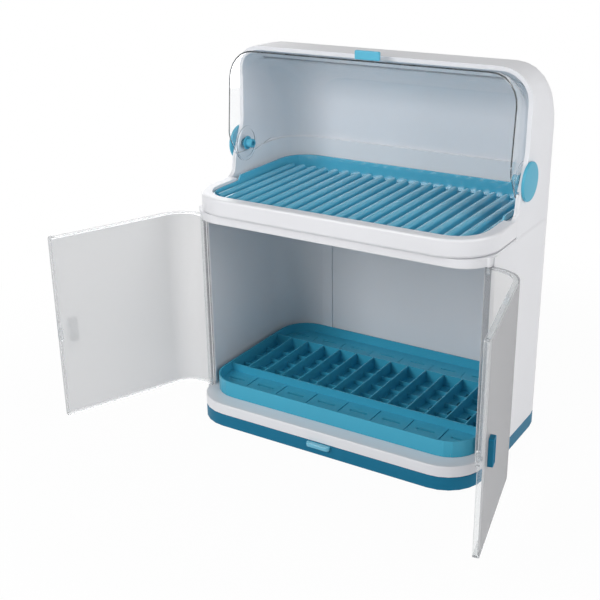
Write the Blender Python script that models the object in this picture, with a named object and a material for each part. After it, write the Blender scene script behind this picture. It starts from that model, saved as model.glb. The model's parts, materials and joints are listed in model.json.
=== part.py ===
"""Covered dish rack: a two-storey moulded cabinet for the worktop.

From the floor up it is a base pan with a pull-out drip tray, a base frame that carries the
lower drainer, a cabinet of two side panels and a back panel with a pair of curved clear doors,
a top frame, an upper frame that holds the upper drainer, and a hood with a clear swing-up lid.
Metres, +Z up, front towards -Y. The origin is on the floor, midway across and midway deep.
"""
import math

import bmesh
import bpy
from mathutils import Matrix, Vector

# Overall size
WIDTH = 0.450
DEPTH = 0.287
HEIGHT = 0.539

# Moulding
WALL = 0.003
SKIRT = 0.0025
SEAT = 0.0003
RUNNING = 0.0010
CORNER_STEPS = 6
ROUND_STEPS = 20
ROUND_PROFILE = 0.5
PAST = 0.1

# Body corners, seen from above
BACK_RADIUS = 0.057
BASE_RADIUS = 0.0565
STRIP_RADIUS = 0.046
FRAME_RADIUS = 0.062

# Heights of the storeys
HOOD_HEIGHT = 0.1900
PAN_HEIGHT = 0.0205
PAN_FLOOR = 0.0020
PAN_FLANGE = 0.0090
BASE_FRAME_HEIGHT = 0.0162
BACK_LAP = 0.0120
STRIP_DROP = 0.0100
STRIP_LIP = 0.0024
RIM_HEIGHT = 0.0254
UPSTAND_HEIGHT = 0.0572

# Setbacks from the front of the base
DOOR_SETBACK = 0.0008
STRIP_SETBACK = 0.0160
FRAME_SETBACK = 0.0100
PANEL_SETBACK = 0.0535
TRAY_SETBACK = 0.0600

# Drip tray in the base
TRAY_WALL = 0.0020
TRAY_SIDE_ROOM = 0.0045
TRAY_LIFT = 0.0005
TRAY_REAR_HEIGHT = 0.0140
PULL_WIDTH = 0.041
PULL_HEIGHT = 0.0090
PULL_REACH = 0.0070
PULL_THICKNESS = 0.0018

# Openings through the frames
BASE_OPENING_MARGIN = 0.040
BASE_OPENING_FRONT = 0.055
STRIP_OPENING_MARGIN = 0.035
OPENING_RADIUS = 0.030

# Lower drainer
LOWER_SIDE_ROOM = 0.0120
LOWER_FRONT_ROOM = 0.0250
LOWER_BACK_ROOM = 0.0030
LOWER_HEIGHT = 0.0240
LOWER_RADIUS = 0.046
LOWER_WALL = 0.0022
LOWER_FLOOR = 0.0022
TROUGH_WIDTH = 0.0605
TROUGH_FLOOR = 0.0090
CROSS_WALL = 0.0022
CROSS_DROP = 0.0030
FIN_COUNT = 13
FIN_THICKNESS = 0.0018
FIN_DROP = 0.0010
BAY_SLOTS = 4
BAY_SLOT_WIDTH = 0.0050
BAY_SLOT_RIB = 0.0060
TROUGH_CELLS = 8
TROUGH_SLOT_LENGTH = 0.0260
TROUGH_SLOT_WIDTH = 0.0030
SCORE_WIDTH = 0.0012
SCORE_DEPTH = 0.0008
SCORE_LENGTH = 0.0400

# Upper drainer
UPPER_SIDE_ROOM = 0.0010
UPPER_FRONT_ROOM = 0.0010
UPPER_RADIUS = 0.044
UPPER_WALL = 0.0020
UPPER_FLOOR = 0.0022
BACK_STEP = 0.0015
BACK_STEP_ROOM = 0.0080
BAR_COUNT = 21
BAR_SIDE_ROOM = 0.0090
BAR_WIDTH = 0.0105
BAR_TOP = 0.0132
BAR_BACK_ROOM = 0.0200
BAR_WALL = 0.0020
FRONT_WALL_TOP = 0.0165
REAR_WALL_TOP = 0.0240
DRAIN_WIDTH = 0.0045
DRAIN_LENGTH = 0.0220
STEP_AT = -0.0260
STEP_RUN = 0.0060

# Upper frame
FRAME_SILL = 0.0050
FRAME_SILL_WIDTH = 0.014
RIM_WIDTH = 0.0160
CHANNEL_DROP = 0.0040
HOOD_JOINT = -0.0185

# Hood
HOOD_RADIUS = 0.100
ROOF_RADIUS = 0.042
BEAD = 0.0060
BEAD_WIDTH = 0.0050
ARC_STEPS = 10
FRONT_EDGE = 0.0110
ROOF_EDGE = 0.0010
CHEEK_EDGE = -0.0125
CHEEK_FOOT = -0.0175
CHEEK_HEIGHT = 0.031
CHEEK_TOP = 0.078

# Lid and its pivots
PIVOT_Y = 0.0110
LID_DROP = 0.0440
LID_REST = 0.0005
LID_WALL = 0.0020
LID_SIDE_ROOM = 0.0045
LID_SWING_ROOM = 0.0015
LID_CORNER = 0.038
LID_BACK_CORNER = 0.052
LID_CORNER_RUN = math.radians(60)
LID_OPEN = math.radians(95)
LID_FLARE = math.radians(16)
LID_STATIONS = 20
EAR_RADIUS = 0.027
EAR_RING = 0.0260
EAR_RING_WIDTH = 0.0050
EAR_RING_HEIGHT = 0.0010
SHAFT_RADIUS = 0.0052
CAP_RADIUS = 0.0275
CAP_THICKNESS = 0.0045
CAP_BEVEL = 0.0016
HUB_RADIUS = 0.0078
HUB_LENGTH = 0.0110
HUB_FLANGE = 0.0100
HUB_BORE = 0.0034
TAB_WIDTH = 0.045
TAB_HEIGHT = 0.0145
TAB_THICKNESS = 0.0040

# Doors
DOOR_WALL = 0.0022
DOOR_RADIUS = 0.0436
DOOR_FLANGE = 0.0080
DOOR_LIP = 0.0050
DOOR_END_ROOM = 0.0008
DOOR_TOP_ROOM = 0.0008
DOOR_MEETING = 0.0006
HINGE_INSET = 0.0045
HINGE_FORWARD = 0.0078
KNUCKLE_RADIUS = 0.0040
PIN_RADIUS = 0.0015
PIN_IN_DOOR = 0.0090
PIN_IN_FRAME = 0.0045
LEFT_DOOR_OPEN = math.radians(112.5)
RIGHT_DOOR_OPEN = math.radians(102)
LUG_HEIGHT = 0.0180
LUG_REACH = 0.0026
NUB_WIDTH = 0.0060
NUB_HEIGHT = 0.0015
HANDLE_HEIGHT = 0.0360
HANDLE_WIDTH = 0.0140
HANDLE_REACH = 0.0095
HANDLE_BEVEL = 0.0018
HANDLE_FROM_EDGE = 0.0240
HANDLE_RISE = 0.129

# Places worked out from the sizes above
HALF = WIDTH / 2
FRONT = -DEPTH / 2
BACK = DEPTH / 2
INSIDE = WALL + SEAT
PAN_TOP = PAN_HEIGHT
SIDE_END = HALF - BACK_RADIUS - BACK_LAP - 2 * WALL
BASE_Z = PAN_TOP + SEAT
LEDGE = BASE_Z + BASE_FRAME_HEIGHT
RIM_TOP = HEIGHT - HOOD_HEIGHT
FRAME_Z = RIM_TOP - RIM_HEIGHT
STRIP_TOP = FRAME_Z - SEAT
PANEL_TOP = STRIP_TOP - STRIP_LIP - SEAT
STRIP_BOTTOM = PANEL_TOP - STRIP_DROP
UPSTAND_TOP = FRAME_Z + UPSTAND_HEIGHT
DOOR_FRONT = FRONT + DOOR_SETBACK
STRIP_FRONT = FRONT + STRIP_SETBACK
TRAY_JOINT = FRONT + TRAY_SETBACK
FRAME_FRONT = FRONT + FRAME_SETBACK
PANEL_FRONT = FRONT + PANEL_SETBACK
PIVOT_Z = RIM_TOP + LID_REST + LID_DROP
HINGE_X = HALF - HINGE_INSET
HINGE_Y = PANEL_FRONT - HINGE_FORWARD
HANDLE_Z = LEDGE + HANDLE_RISE
LOWER_HALF = HALF - LOWER_SIDE_ROOM
FIN_PITCH = (2 * (LOWER_HALF - LOWER_WALL) + FIN_THICKNESS) / (FIN_COUNT + 1)
TROUGH_CELL = 2 * LOWER_HALF / TROUGH_CELLS
OPENING_HALF = HALF - RIM_WIDTH
UPPER_HALF = OPENING_HALF - UPPER_SIDE_ROOM
BAR_PITCH = 2 * (UPPER_HALF - BAR_SIDE_ROOM) / (BAR_COUNT - 1)
OPENING_FRONT = FRAME_FRONT + RIM_WIDTH
OPENING_BACK = BACK - WALL - SEAT - WALL - 0.0017
LID_HALF = HALF - WALL - LID_SIDE_ROOM
LID_RADIUS = min(BACK - WALL - PIVOT_Y, HEIGHT - BEAD - PIVOT_Z) - LID_SWING_ROOM
LID_RIM_RADIUS = HEIGHT - PIVOT_Z

WHITE = (0.80, 0.80, 0.83)
TEAL = (0.030, 0.235, 0.400)
BRIGHT_TEAL = (0.075, 0.430, 0.610)
PALE_TEAL = (0.160, 0.560, 0.700)
CLEAR = (0.80, 0.86, 0.88)
FROST = (0.72, 0.73, 0.74)


def clear_scene():
    """Remove whatever the file holds, so the script gives the same result anywhere."""
    for thing in list(bpy.data.objects):
        bpy.data.objects.remove(thing, do_unlink=True)
    for mesh in list(bpy.data.meshes):
        bpy.data.meshes.remove(mesh)


def plastic(name, colour, roughness=0.35, alpha=1.0):
    """A moulded plastic of one colour, clear where alpha is under one."""
    material = bpy.data.materials.new(name)
    material.use_nodes = True
    shader = material.node_tree.nodes["Principled BSDF"]
    shader.inputs["Base Color"].default_value = (*colour, 1.0)
    shader.inputs["Roughness"].default_value = roughness
    shader.inputs["Metallic"].default_value = 0.0
    shader.inputs["Alpha"].default_value = alpha
    return material


def from_bmesh(name, bm):
    """Turn a bmesh into an object with its faces pointing out."""
    bmesh.ops.recalc_face_normals(bm, faces=bm.faces)
    mesh = bpy.data.meshes.new(name)
    bm.to_mesh(mesh)
    bm.free()
    thing = bpy.data.objects.new(name, mesh)
    bpy.context.scene.collection.objects.link(thing)
    return thing


def fillet(corners, closed=True, steps=CORNER_STEPS):
    """Points of an outline whose corners are (a, b, radius), each turned into an arc."""
    points = []
    count = len(corners)
    for i, (a, b, radius) in enumerate(corners):
        here = Vector((a, b))
        if radius <= 0 or (not closed and i in (0, count - 1)):
            points.append(here)
            continue
        before = (Vector(corners[i - 1][:2]) - here).normalized()
        after = (Vector(corners[(i + 1) % count][:2]) - here).normalized()
        half = before.angle(after) / 2
        centre = here + (before + after).normalized() * (radius / math.sin(half))
        start = here + before * (radius / math.tan(half)) - centre
        sweep = start.angle_signed(here + after * (radius / math.tan(half)) - centre)
        pieces = max(1, round(steps * abs(sweep) / (math.pi / 2)))
        for step in range(pieces + 1):
            points.append(centre + Matrix.Rotation(-sweep * step / pieces, 2) @ start)
    return points


def extrude(name, outline, low, high, place):
    """A closed prism: the outline carried from low to high, each point put by place()."""
    bm = bmesh.new()
    bottom = [bm.verts.new(place(a, b, low)) for a, b in outline]
    top = [bm.verts.new(place(a, b, high)) for a, b in outline]
    bm.faces.new(bottom)
    bm.faces.new(top)
    for i in range(len(outline)):
        j = (i + 1) % len(outline)
        bm.faces.new((bottom[i], bottom[j], top[j], top[i]))
    return from_bmesh(name, bm)


def upright(name, outline, low, high):
    """A prism with its outline in plan and its length along Z."""
    return extrude(name, outline, low, high, lambda a, b, c: (a, b, c))


def across(name, outline, low, high):
    """A prism with its outline in the side view (y, z) and its length along X."""
    return extrude(name, outline, low, high, lambda a, b, c: (c, a, b))


def block(name, x, y, z):
    """A box between pairs of limits."""
    return upright(name, [(x[0], y[0]), (x[1], y[0]), (x[1], y[1]), (x[0], y[1])], *z)


def boxes(name, limits):
    """Several boxes that don't touch, as one mesh."""
    bm = bmesh.new()
    for x, y, z in limits:
        size = Matrix.Diagonal((x[1] - x[0], y[1] - y[0], z[1] - z[0], 1))
        middle = Vector(((x[0] + x[1]) / 2, (y[0] + y[1]) / 2, (z[0] + z[1]) / 2))
        bmesh.ops.create_cube(bm, size=1, matrix=Matrix.Translation(middle) @ size)
    return from_bmesh(name, bm)


def turned(name, profile, centre, axis="X", steps=ROUND_STEPS):
    """A ring or disc: (along, radius) points spun about an axis, closed on itself."""
    bm = bmesh.new()
    rings = []
    for along, radius in profile:
        ring = []
        for step in range(steps if radius > 0 else 1):
            turn = 2 * math.pi * step / steps
            side, up = radius * math.cos(turn), radius * math.sin(turn)
            point = (along, side, up) if axis == "X" else (side, up, along)
            ring.append(bm.verts.new(Vector(point) + Vector(centre)))
        rings.append(ring)
    for i, ring in enumerate(rings):
        following = rings[(i + 1) % len(rings)]
        if len(ring) == 1 and len(following) == 1:
            continue
        for step in range(steps):
            ahead = (step + 1) % steps
            if len(ring) == 1:
                bm.faces.new((ring[0], following[ahead], following[step]))
            elif len(following) == 1:
                bm.faces.new((ring[step], ring[ahead], following[0]))
            else:
                bm.faces.new((ring[step], ring[ahead], following[ahead], following[step]))
    return from_bmesh(name, bm)


def combine(operation, target, *others):
    """Union, difference or intersection of a target with each other piece in turn."""
    for other in others:
        modifier = target.modifiers.new("combine", "BOOLEAN")
        modifier.operation = operation
        modifier.solver = "EXACT"
        modifier.object = other
        graph = bpy.context.evaluated_depsgraph_get()
        mesh = bpy.data.meshes.new_from_object(target.evaluated_get(graph))
        target.modifiers.clear()
        old = target.data
        target.data = mesh
        bpy.data.meshes.remove(old)
        bpy.data.objects.remove(other, do_unlink=True)
    return target


def cut(target, *others):
    return combine("DIFFERENCE", target, *others)


def join(target, *others):
    return combine("UNION", target, *others)


def keep(target, *others):
    return combine("INTERSECT", target, *others)


def soften(target, width, test, segments=2):
    """Round the edges whose middle passes the test."""
    bm = bmesh.new()
    bm.from_mesh(target.data)
    chosen = [e for e in bm.edges if test((e.verts[0].co + e.verts[1].co) / 2)]
    bmesh.ops.bevel(bm, geom=chosen, offset=width, segments=segments, profile=ROUND_PROFILE,
                    affect="EDGES", clamp_overlap=True)
    bm.to_mesh(target.data)
    bm.free()
    return target


def finish(thing, name, material, parent=None):
    """Give a piece its name, material, smooth shading and, if it moves, its axis."""
    thing.name = name
    thing.data.name = name
    thing.data.materials.clear()
    thing.data.materials.append(material)
    thing.data.shade_smooth()
    thing.data.set_sharp_from_angle(angle=math.radians(32))
    if parent is not None:
        thing.parent = parent
    return thing


def axis_at(name, place, turn_x=0.0, turn_z=0.0):
    """An empty on a joint's axis, turned to the pose in which the rack is shown."""
    empty = bpy.data.objects.new(name, None)
    empty.location = place
    empty.rotation_euler = (turn_x, 0.0, turn_z)
    bpy.context.scene.collection.objects.link(empty)
    return empty


def body_plan(inset=0.0, front=FRONT, radius=0.0):
    """The body from above, drawn in by inset, with its front at the given place."""
    half, back = HALF - inset, BACK - inset
    return fillet([(-half, front, radius), (half, front, radius),
                   (half, back, BACK_RADIUS - inset), (-half, back, BACK_RADIUS - inset)])


def front_plan(front, end, radius, inset=0.0):
    """The full-width front part of a frame, from its rounded front back to end."""
    half = HALF - inset
    tail = max(end, front + radius + SEAT)
    outline = fillet([(-half, tail, 0), (-half, front + inset, radius - inset),
                      (half, front + inset, radius - inset), (half, tail, 0)])
    return [(-half, end)] + [point for point in outline if point[1] < end - SEAT] + [(half, end)]


def hood_form(name, inset, front, bottom):
    """The hood's rounded body, drawn in by inset.

    A profile climbs the back wall, turns over an arc and runs forward along the roof. At
    each place on it the two side corners are quarter rounds whose radius passes from that
    of the back corners to that of the roof edges.
    """
    arc = HOOD_RADIUS - inset
    stations = [((BACK - inset, bottom), 0.0, BACK_RADIUS - inset)]
    for step in range(ARC_STEPS + 1):
        share = step / ARC_STEPS
        turn = math.pi / 2 * share
        y = BACK - HOOD_RADIUS + arc * math.cos(turn)
        z = HEIGHT - HOOD_RADIUS + arc * math.sin(turn)
        radius = BACK_RADIUS + (ROOF_RADIUS - BACK_RADIUS) * share
        stations.append(((y, z), turn, radius - inset))
    stations.append(((front, HEIGHT - inset), math.pi / 2, ROOF_RADIUS - inset))
    return corner_sweep(name, stations, HALF - inset, [(front, bottom)])


def corner_sweep(name, stations, half, closing):
    """A closed body swept along stations ((y, z), turn, corner radius)."""
    bm = bmesh.new()
    rows = []
    for (y, z), turn, radius in stations:
        normal = Vector((math.cos(turn), math.sin(turn)))
        row = []
        for step in range(CORNER_STEPS + 1):
            bend = math.pi / 2 * step / CORNER_STEPS
            sunk = Vector((y, z)) - normal * radius * (1 - math.sin(bend))
            row.append((-(half - radius + radius * math.cos(bend)), *sunk))
        row += [(-x, a, b) for x, a, b in reversed(row)]
        rows.append([bm.verts.new(point) for point in row])
    for row, following in zip(rows, rows[1:]):
        for i in range(len(row) - 1):
            bm.faces.new((row[i], row[i + 1], following[i + 1], following[i]))
    left = [bm.verts.new((-half, a, b)) for a, b in closing]
    right = [bm.verts.new((half, a, b)) for a, b in closing]
    bm.faces.new([row[0] for row in rows] + left)
    bm.faces.new([row[-1] for row in rows] + right)
    bm.faces.new(rows[0] + [right[-1], left[-1]])
    bm.faces.new(rows[-1] + [right[0], left[0]])
    for i in range(len(closing) - 1):
        bm.faces.new((left[i], left[i + 1], right[i + 1], right[i]))
    return from_bmesh(name, bm)


def cheek_line():
    """Side view of the open front: along the rim, up the cheek and up the hood's edge."""
    return fillet([(FRAME_FRONT - PAST, RIM_TOP, 0),
                   (CHEEK_FOOT, RIM_TOP, 0.014),
                   (CHEEK_EDGE, RIM_TOP + CHEEK_HEIGHT, 0.030),
                   (FRONT_EDGE - 0.002, RIM_TOP + CHEEK_TOP, 0.030),
                   (FRONT_EDGE, HEIGHT - ROOF_RADIUS, 0.060),
                   (ROOF_EDGE, HEIGHT, 0), (ROOF_EDGE, HEIGHT + PAST, 0)], closed=False)


def make_base_pan(material):
    """The pan that the rack stands on, open at the front for the drip tray."""
    pan = upright("pan", body_plan(0, TRAY_JOINT), 0, PAN_TOP)
    ahead = TRAY_JOINT - WALL
    hollow = upright("hollow", body_plan(SKIRT, ahead), PAN_FLOOR, PAN_TOP - SKIRT)
    mouth = upright("mouth", body_plan(PAN_FLANGE, ahead), PAN_TOP / 2, PAN_TOP + WALL)
    cut(pan, hollow, mouth)
    return finish(pan, "base_pan", material)


def make_drip_tray(material):
    """The pull-out tray: a wrap-round front and a shallow pan that runs inside the base."""
    joint = TRAY_JOINT - SEAT
    floor = PAN_FLOOR + SEAT
    side = SKIRT + RUNNING + SEAT
    tray = upright("tray", front_plan(FRONT, joint, BASE_RADIUS), TRAY_LIFT, PAN_TOP - TRAY_LIFT)
    rear = upright("rear", body_plan(side, joint - 1.5 * WALL), floor, floor + TRAY_REAR_HEIGHT)
    join(tray, rear)
    inner = side + TRAY_WALL
    half, back = HALF - inner, BACK - inner
    pocket = fillet([(-half, FRONT + WALL, BASE_RADIUS - inner), (half, FRONT + WALL, BASE_RADIUS - inner),
                     (half, back, BACK_RADIUS - inner), (-half, back, BACK_RADIUS - inner)])
    cut(tray, upright("pocket", pocket, floor + TRAY_WALL, PAN_TOP + WALL))
    soften(tray, 0.0008, lambda c: c.z > PAN_TOP - TRAY_LIFT * 1.5 and c.y < joint - SEAT, 1)
    return finish(tray, "drip_tray", material)


def make_tray_pull(material):
    """A hooded finger pull at the top of the tray's front."""
    face = FRONT - SEAT
    top = PAN_TOP - TRAY_LIFT * 2
    tip = face - PULL_REACH
    outline = fillet([(face, top - PULL_HEIGHT, 0), (face, top, 0), (tip, top, 0.003),
                      (tip, top - PULL_HEIGHT * 0.6, 0),
                      (tip + PULL_THICKNESS, top - PULL_HEIGHT * 0.6, 0),
                      (tip + PULL_THICKNESS, top - PULL_THICKNESS, 0.0012),
                      (face - PULL_THICKNESS, top - PULL_THICKNESS, 0.0008),
                      (face - PULL_THICKNESS, top - PULL_HEIGHT, 0)], steps=3)
    pull = across("pull", outline, -PULL_WIDTH / 2, PULL_WIDTH / 2)
    ends = [((s * PULL_WIDTH / 2 - WALL / 2, s * PULL_WIDTH / 2 + WALL / 2)) for s in (-1, 1)]
    for low, high in ends:
        inside = (max(low, -PULL_WIDTH / 2), min(high, PULL_WIDTH / 2))
        cheek = fillet([(face, top - PULL_HEIGHT, 0), (face, top, 0), (tip, top, 0.003),
                        (tip, top - PULL_HEIGHT * 0.6, 0.003)], steps=3)
        join(pull, across("cheek", cheek, *inside))
    return finish(pull, "tray_pull", material)


def pin_places():
    """The hinge pins: which side, which end, and the heights between which each one runs."""
    low_frame = (LEDGE - PIN_IN_FRAME, LEDGE + DOOR_END_ROOM + PIN_IN_DOOR)
    high_frame = (STRIP_BOTTOM - DOOR_TOP_ROOM - PIN_IN_DOOR, STRIP_BOTTOM + PIN_IN_FRAME)
    return [(side, end, span) for side in (-1, 1)
            for end, span in (("bottom", low_frame), ("top", high_frame))]


def pin_holes(end, room):
    """Cutters for the pins of one end of the doors, with their clearance."""
    cutters = []
    for side, place, (low, high) in pin_places():
        if place == end:
            profile = [(low - room, 0), (low - room, PIN_RADIUS + SEAT),
                       (high + room, PIN_RADIUS + SEAT), (high + room, 0)]
            cutters.append(turned("hole", profile, (side * HINGE_X, HINGE_Y, 0), "Z", 14))
    return cutters


def make_base_frame(material):
    """The white frame on the pan: the ledge in front, and the shelf for the lower drainer."""
    end = PANEL_FRONT - SEAT
    frame = upright("frame", front_plan(FRONT, end, BASE_RADIUS), BASE_Z, LEDGE)
    soften(frame, 0.0022, lambda c: c.z > LEDGE - SEAT and c.y < end - WALL, 2)
    join(frame, upright("rear", body_plan(INSIDE, end - WALL), BASE_Z, LEDGE))
    inner = INSIDE + SKIRT
    half, back = HALF - inner, BACK - inner
    hollow = fillet([(-half, FRONT + inner, BASE_RADIUS - inner), (half, FRONT + inner, BASE_RADIUS - inner),
                     (half, back, BACK_RADIUS - inner), (-half, back, BACK_RADIUS - inner)])
    side = HALF - BASE_OPENING_MARGIN
    near, far = FRONT + BASE_OPENING_FRONT, BACK - BASE_OPENING_MARGIN
    opening = fillet([(-side, near, OPENING_RADIUS), (side, near, OPENING_RADIUS),
                      (side, far, OPENING_RADIUS), (-side, far, OPENING_RADIUS)])
    cut(frame, upright("hollow", hollow, BASE_Z - WALL, LEDGE - WALL),
        upright("opening", opening, BASE_Z - WALL, LEDGE + WALL), *pin_holes("bottom", SEAT))
    return finish(frame, "base_frame", material)


def make_lower_drainer(material):
    """Tray with a sloping trough at front and back and a bay of plate fins between."""
    bottom = LEDGE + SEAT
    top = bottom + LOWER_HEIGHT
    half = LOWER_HALF
    near, far = FRONT + LOWER_FRONT_ROOM, BACK - WALL - LOWER_BACK_ROOM
    wall = LOWER_WALL
    outer = fillet([(-half, near, LOWER_RADIUS), (half, near, LOWER_RADIUS),
                    (half, far, LOWER_RADIUS), (-half, far, LOWER_RADIUS)])
    tray = upright("tray", outer, bottom, top)
    inner = half - wall
    radius = LOWER_RADIUS - wall
    trough = bottom + TROUGH_FLOOR
    crest = top - CROSS_DROP
    bay_near, bay_far = near + wall + TROUGH_WIDTH, far - wall - TROUGH_WIDTH
    front_pocket = fillet([(-inner, near + wall, radius), (inner, near + wall, radius),
                           (inner, bay_near, 0), (-inner, bay_near, 0)])
    back_pocket = fillet([(-inner, bay_far, 0), (inner, bay_far, 0),
                          (inner, far - wall, radius), (-inner, far - wall, radius)])
    cut(tray, upright("front_pocket", front_pocket, trough, top + wall),
        upright("back_pocket", back_pocket, trough, top + wall))
    low_y, high_y = bay_near + CROSS_WALL, bay_far - CROSS_WALL
    middle = (bay_near - CROSS_WALL, bay_far + CROSS_WALL)
    cut(tray, block("crest", (-inner, inner), middle, (crest, top + wall)))
    fins = [(i - (FIN_COUNT - 1) / 2) * FIN_PITCH for i in range(FIN_COUNT)]
    sides = [-inner] + [x + s * FIN_THICKNESS / 2 for x in fins for s in (-1, 1)] + [inner]
    bays = [(sides[i], sides[i + 1]) for i in range(0, len(sides), 2)]
    floor = bottom + LOWER_FLOOR
    pockets = [((a, b), (low_y, high_y), (floor, crest + wall)) for a, b in bays]
    slots = []
    run = (high_y - low_y - BAY_SLOT_RIB * (BAY_SLOTS + 1)) / BAY_SLOTS
    for a, b in bays:
        centre = (a + b) / 2
        for i in range(BAY_SLOTS):
            start = low_y + BAY_SLOT_RIB + i * (run + BAY_SLOT_RIB)
            slots.append(((centre - BAY_SLOT_WIDTH / 2, centre + BAY_SLOT_WIDTH / 2),
                          (start, start + run), (bottom - wall, floor + wall)))
    cut(tray, boxes("bays", pockets), boxes("slots", slots))
    cells = [(i - (TROUGH_CELLS - 1) / 2) * TROUGH_CELL for i in range(TROUGH_CELLS)]
    scores = [(i - (TROUGH_CELLS - 2) / 2) * TROUGH_CELL for i in range(TROUGH_CELLS - 1)]
    openings, lines, undersides = [], [], []
    for lead, sign in ((bay_near, -1), (bay_far, 1)):
        centre = lead + sign * TROUGH_WIDTH * 0.62
        for x in cells:
            openings.append(((x - TROUGH_SLOT_LENGTH / 2, x + TROUGH_SLOT_LENGTH / 2),
                             (centre - TROUGH_SLOT_WIDTH / 2, centre + TROUGH_SLOT_WIDTH / 2),
                             (bottom - wall, trough + wall)))
        ends = sorted((lead + sign * WALL, lead + sign * (WALL + SCORE_LENGTH)))
        for x in scores:
            lines.append(((x - SCORE_WIDTH / 2, x + SCORE_WIDTH / 2), ends,
                          (trough - SCORE_DEPTH, trough + wall)))
        span = sorted((lead + sign * WALL, lead + sign * (TROUGH_WIDTH - WALL)))
        undersides.append(((-inner + LOWER_RADIUS / 2, inner - LOWER_RADIUS / 2), span,
                           (bottom - wall, trough - LOWER_FLOOR - SCORE_DEPTH)))
    cut(tray, boxes("undersides", undersides), boxes("trough_slots", openings), boxes("scores", lines))
    return finish(tray, "lower_drainer", material)


def make_side_panel(side, material):
    """A side panel with its rounded back corner and the return that backs the door."""
    outer = fillet([(HALF, PANEL_FRONT, 0), (HALF, BACK, BACK_RADIUS), (SIDE_END, BACK, 0)], closed=False)
    inner = fillet([(HALF - WALL, PANEL_FRONT, 0), (HALF - WALL, BACK - WALL, BACK_RADIUS - WALL),
                    (SIDE_END, BACK - WALL, 0)], closed=False)
    outline = [(side * x, y) for x, y in outer + inner[::-1]]
    panel = upright("panel", outline, BASE_Z, PANEL_TOP)
    reach = HALF - WALL * 2.7
    post_x = sorted((side * reach, side * (HALF - WALL / 2)))
    post = block("post", post_x, (PANEL_FRONT, PANEL_FRONT + WALL), (LEDGE + SEAT, STRIP_BOTTOM - SEAT))
    join(panel, post)
    return finish(panel, "side_panel_right" if side > 0 else "side_panel_left", material)


def make_back_panel(material):
    """The back panel, whose lips lap inside the rear edges of the side panels."""
    edge = SIDE_END - SEAT
    panel = block("panel", (-edge, edge), (BACK - WALL, BACK), (BASE_Z, PANEL_TOP))
    behind = BACK - WALL - SEAT
    ahead = behind - SKIRT
    for side in (-1, 1):
        step = edge - 2 * WALL
        outline = [(step, ahead), (edge + BACK_LAP, ahead), (edge + BACK_LAP, behind), (edge - SEAT, behind),
                   (edge - SEAT, BACK - WALL / 2), (step, BACK - WALL / 2)]
        lip = upright("lip", [(side * x, y) for x, y in outline], LEDGE + SEAT, STRIP_BOTTOM - SEAT)
        join(panel, lip)
    return finish(panel, "back_panel", material)


def make_top_frame(material):
    """The strip over the doors: a ring that ties the panels and carries the upper storey."""
    end = PANEL_FRONT - SEAT
    frame = upright("frame", body_plan(0, STRIP_FRONT, STRIP_RADIUS), STRIP_BOTTOM, STRIP_TOP)
    behind = block("behind", (-WIDTH, WIDTH), (end, DEPTH), (STRIP_BOTTOM - WALL, PANEL_TOP + SEAT))
    inside = upright("inside", body_plan(INSIDE, end - WALL), 0, HEIGHT)
    cut(frame, cut(behind, inside))
    inner = INSIDE + SKIRT
    half, back = HALF - inner, BACK - inner
    hollow = fillet([(-half, STRIP_FRONT + inner, STRIP_RADIUS - inner),
                     (half, STRIP_FRONT + inner, STRIP_RADIUS - inner),
                     (half, back, BACK_RADIUS - inner), (-half, back, BACK_RADIUS - inner)])
    for mirror in (-1, 1):
        ear = [(STRIP_BOTTOM, 0), (STRIP_BOTTOM, HINGE_INSET), (STRIP_TOP, HINGE_INSET), (STRIP_TOP, 0)]
        join(frame, turned("ear", ear, (mirror * HINGE_X, HINGE_Y, 0), "Z"))
    side = HALF - STRIP_OPENING_MARGIN
    near, far = STRIP_FRONT + STRIP_OPENING_MARGIN, BACK - STRIP_OPENING_MARGIN
    opening = fillet([(-side, near, OPENING_RADIUS), (side, near, OPENING_RADIUS),
                      (side, far, OPENING_RADIUS), (-side, far, OPENING_RADIUS)])
    cut(frame, upright("hollow", hollow, STRIP_BOTTOM + SKIRT, STRIP_TOP + WALL),
        upright("opening", opening, STRIP_BOTTOM - WALL, STRIP_TOP + WALL), *pin_holes("top", SEAT))
    return finish(frame, "top_frame", material)


def make_upper_frame(material):
    """The moulded frame of the upper storey: rim, cheeks, upstand and drainer sill."""
    frame = upright("frame", front_plan(FRAME_FRONT, HOOD_JOINT - SEAT, FRAME_RADIUS), FRAME_Z, UPSTAND_TOP)
    soften(frame, 0.0040, lambda c: c.z < FRAME_Z + SEAT and c.y < HOOD_JOINT - WALL, 3)
    join(frame, upright("rear", body_plan(INSIDE, HOOD_JOINT - WALL), FRAME_Z, UPSTAND_TOP))
    above = [(y, z) for y, z in cheek_line() if z < PIVOT_Z]
    above += [(above[-1][0], HEIGHT), (FRAME_FRONT - PAST, HEIGHT)]
    cut(frame, across("above", above, -WIDTH, WIDTH))
    channel = RIM_TOP - CHANNEL_DROP
    inner = INSIDE + WALL
    half, back = HALF - inner, BACK - inner
    lane = fillet([(-half, CHEEK_FOOT - 0.010, 0), (half, CHEEK_FOOT - 0.010, 0),
                   (half, back, BACK_RADIUS - inner), (-half, back, BACK_RADIUS - inner)])
    well = fillet([(-OPENING_HALF, OPENING_FRONT, UPPER_RADIUS), (OPENING_HALF, OPENING_FRONT, UPPER_RADIUS),
                   (OPENING_HALF, OPENING_BACK, UPPER_RADIUS), (-OPENING_HALF, OPENING_BACK, UPPER_RADIUS)])
    sill = FRAME_SILL_WIDTH
    side, near, far = OPENING_HALF - sill, OPENING_FRONT + sill, OPENING_BACK - sill
    radius = UPPER_RADIUS - sill
    drop = fillet([(-side, near, radius), (side, near, radius), (side, far, radius), (-side, far, radius)])
    cut(frame, upright("lane", lane, channel, HEIGHT), upright("well", well, FRAME_Z + FRAME_SILL, HEIGHT),
        upright("drop", drop, FRAME_Z - WALL, HEIGHT))
    cut(frame, hollow_ring(channel - WALL))
    return finish(frame, "upper_frame", material)


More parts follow.
